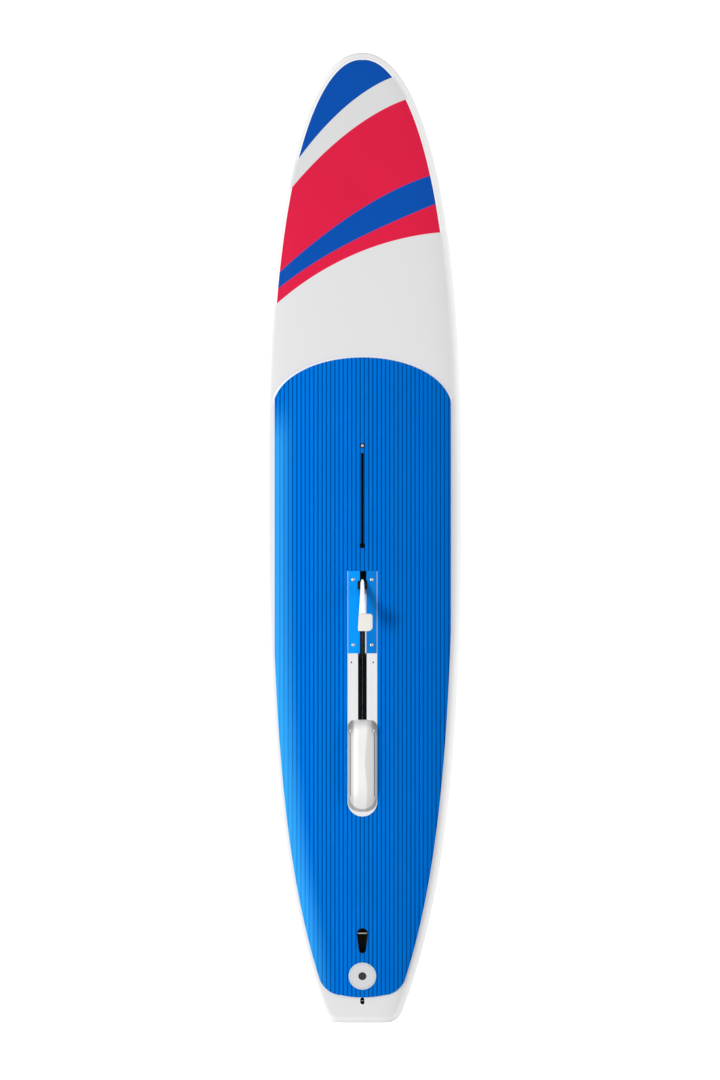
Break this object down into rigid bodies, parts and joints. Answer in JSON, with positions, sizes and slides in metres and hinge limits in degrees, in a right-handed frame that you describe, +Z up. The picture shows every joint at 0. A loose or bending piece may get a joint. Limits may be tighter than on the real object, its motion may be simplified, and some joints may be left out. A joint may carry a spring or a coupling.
{
  "type": "windsurf board",
  "caption": "Long windsurf hull with a grooved foot pad, a mast track, a pivoting daggerboard worked by a foot lever and a fin that slides in its box.",
  "frame": {"origin": "on the centreline at mid-length, on the flat of the hull's bottom", "axes": "+X towards the nose, +Y to port, +Z up out of the deck"},
  "size_m": [3.659, 0.7498, 0.9203],
  "materials": {
    "foam": "matte",
    "skin_white": "gloss",
    "pad_blue": "matte",
    "badge_grey": "satin",
    "frame_white": "satin",
    "plate_blue": "gloss",
    "black_plastic": "satin",
    "black_rubber": "matte",
    "lip_cloth": "matte",
    "polished_steel": "polished",
    "screw_steel": "satin",
    "glide_pads": "matte",
    "blade_white": "gloss",
    "pedal_cream": "satin",
    "fin_dark": "gloss",
    "brass": "satin"
  },
  "bodies": {
    "hull": {"hull_core": "foam", "deck_skin": "skin_white", "bottom_skin": "skin_white", "deck_pad": "pad_blue", "badge_disc": "badge_grey", "mast_track": "black_plastic", "track_foam_block": "foam", "vent_bush": "black_plastic", "vent_o_ring": "black_rubber", "dagger_case": "black_plastic", "slot_frame": "frame_white", "frame_screws": "screw_steel", "cover_plate_port": "plate_blue", "cover_plate_starboard": "plate_blue", "cover_plate_screws": "screw_steel", "bearing_block_port": "black_plastic", "bearing_block_starboard": "black_plastic", "rear_anchor_blocks": "black_plastic", "slot_lips": "black_rubber", "bottom_lips_front": "lip_cloth", "bottom_lips_rear": "lip_cloth", "tip_cover": "polished_steel", "tip_cover_screws": "screw_steel", "down_stop": "black_rubber", "friction_pads": "glide_pads", "grip_cup": "black_plastic", "grip_bar": "screw_steel", "leash_cup": "black_plastic", "leash_pin": "screw_steel", "fin_box": "black_plastic", "fin_foam_block": "foam"},
    "daggerboard": {"dagger_blade": "blade_white", "dagger_head": "black_plastic", "pivot_pin": "screw_steel", "pivot_washers": "black_plastic", "dagger_lever": "blade_white", "lever_pedal": "pedal_cream", "lever_bolts": "screw_steel", "lever_nuts": "screw_steel", "tang_bolts": "screw_steel"},
    "fin": {"fin": "fin_dark", "fin_roller_pin": "brass", "fin_screw": "screw_steel", "fin_plate": "screw_steel"},
    "vent_screw": {"vent_screw": "screw_steel"}
  },
  "joints": [
    {"name": "daggerboard_pivot", "type": "hinge", "parent": "hull", "child": "daggerboard", "pos_m": [-0.171, 0, 0.1385], "axis": [0, 1, 0], "range_deg": [0, 80], "deforming": ["bottom_lips_rear"]},
    {"name": "fin_slide", "type": "slide", "parent": "hull", "child": "fin", "axis": [1, 0, 0], "range_m": [-0.038, 0.038]},
    {"name": "vent_turn", "type": "hinge", "parent": "hull", "child": "vent_screw", "pos_m": [0.354, 0, 0.144], "axis": [0, 0, 1], "range_deg": [0, 1080]}
  ]
}
